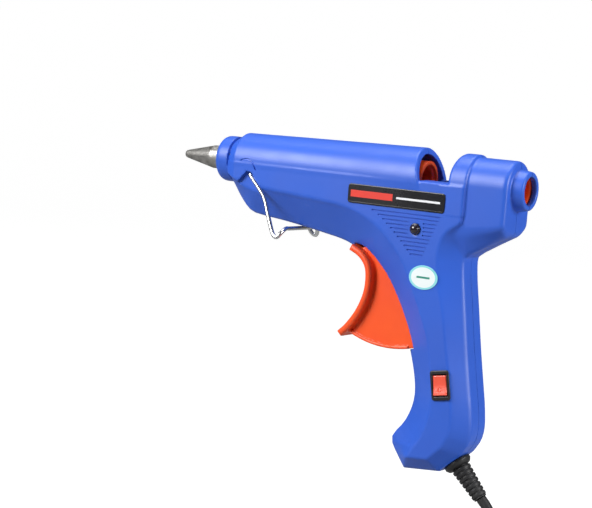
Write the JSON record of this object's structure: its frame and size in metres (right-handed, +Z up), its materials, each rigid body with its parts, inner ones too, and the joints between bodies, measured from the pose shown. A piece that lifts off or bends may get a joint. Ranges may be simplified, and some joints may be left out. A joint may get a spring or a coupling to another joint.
{
  "type": "glue gun",
  "caption": "Pistol-shaped hot-melt glue gun with a split moulded housing, cone nozzle, swinging trigger and feed carriage, wire stand, rocker switch and bundled mains cord.",
  "frame": {"origin": "the centre of the grip, on the parting plane, where the hand holds it", "axes": "-X is the way the nozzle points and the barrel lies along X, +Y is the gun's right-hand side, +Z is up"},
  "size_m": [0.208, 0.0461, 0.2975],
  "materials": {
    "housing": "satin moulded",
    "feed_plastic": "satin moulded",
    "rocker_plastic": "satin moulded",
    "black_plastic": "fine grain",
    "tie_plastic": "plain",
    "rubber": "matt",
    "cast_metal": "as cast, machined cone",
    "steel": "zinc plated",
    "plated_wire": "nickel plated",
    "brass": "plain",
    "silicone": "matt",
    "insulator": "moulded phenolic",
    "heater_wrap": "amber film",
    "lens": "clear tinted",
    "label": "printed film",
    "sticker": "printed film",
    "lead_red": "plain",
    "lead_blue": "plain",
    "lead_brown": "plain"
  },
  "bodies": {
    "gun_body": {"left_housing": "housing", "right_housing": "housing", "nozzle": "cast_metal", "nozzle_collar": "insulator", "melt_chamber": "cast_metal", "heater": "heater_wrap", "heater_clip": "steel", "feed_sleeve": "silicone", "sleeve_clamp": "steel", "rear_guide": "feed_plastic", "trigger_pin": "steel", "return_spring": "steel", "switch_body": "black_plastic", "indicator_lens": "lens", "indicator_lamp": "lens", "heater_lead_live": "lead_red", "heater_lead_neutral": "lead_blue", "wire_joint": "insulator", "cord_core_neutral": "lead_blue", "cord_core_live": "lead_brown", "strain_relief": "rubber", "clamp_screw_1": "steel", "clamp_screw_2": "steel", "cord_clamp": "steel", "cord_lead": "rubber", "cord_tail": "rubber", "cord_hank": "rubber", "cord_tie": "tie_plastic", "plug_body": "black_plastic", "plug_pin_1": "brass", "plug_pin_2": "brass", "name_label": "label", "oval_sticker": "sticker", "housing_screw_1": "steel", "housing_screw_2": "steel", "housing_screw_3": "steel", "housing_screw_4": "steel", "housing_screw_5": "steel", "housing_screw_6": "steel"},
    "trigger": {"trigger": "feed_plastic"},
    "feed_carriage": {"feed_carriage": "feed_plastic", "jaw_pin": "steel"},
    "clamp_jaw": {"clamp_jaw": "steel"},
    "wire_stand": {"wire_stand": "plated_wire"},
    "rocker": {"rocker": "rocker_plastic"}
  },
  "joints": [
    {"name": "trigger_pull", "type": "hinge", "parent": "gun_body", "child": "trigger", "pos_m": [-0.0235, 0, 0.0495], "axis": [0, -1, 0], "range_deg": [0, 22], "stiffness_Nm_per_rad": 0.6, "springref_deg": -11.46, "deforming": ["return_spring"]},
    {"name": "feed_slide", "type": "slide", "parent": "gun_body", "child": "feed_carriage", "axis": [-1, 0, 0], "range_m": [0, 0.0053]},
    {"name": "jaw_tilt", "type": "hinge", "parent": "feed_carriage", "child": "clamp_jaw", "pos_m": [-0.0235, 0, 0.0705], "axis": [0, 1, 0], "range_deg": [0, 12.1]},
    {"name": "stand_swing", "type": "hinge", "parent": "gun_body", "child": "wire_stand", "pos_m": [-0.1028, 0, 0.074], "axis": [0, 1, 0], "range_deg": [0, 66]},
    {"name": "rocker_tilt", "type": "hinge", "parent": "gun_body", "child": "rocker", "pos_m": [0.0109, -0.014, -0.012], "axis": [0.9833, 0, 0.1822], "range_deg": [0, 12]}
  ],
  "couplings": [
    {"joint": "feed_slide", "follows": "trigger_pull", "m_per_rad": 0.01367},
    {"joint": "jaw_tilt", "follows": "trigger_pull", "ratio": 0.545}
  ]
}
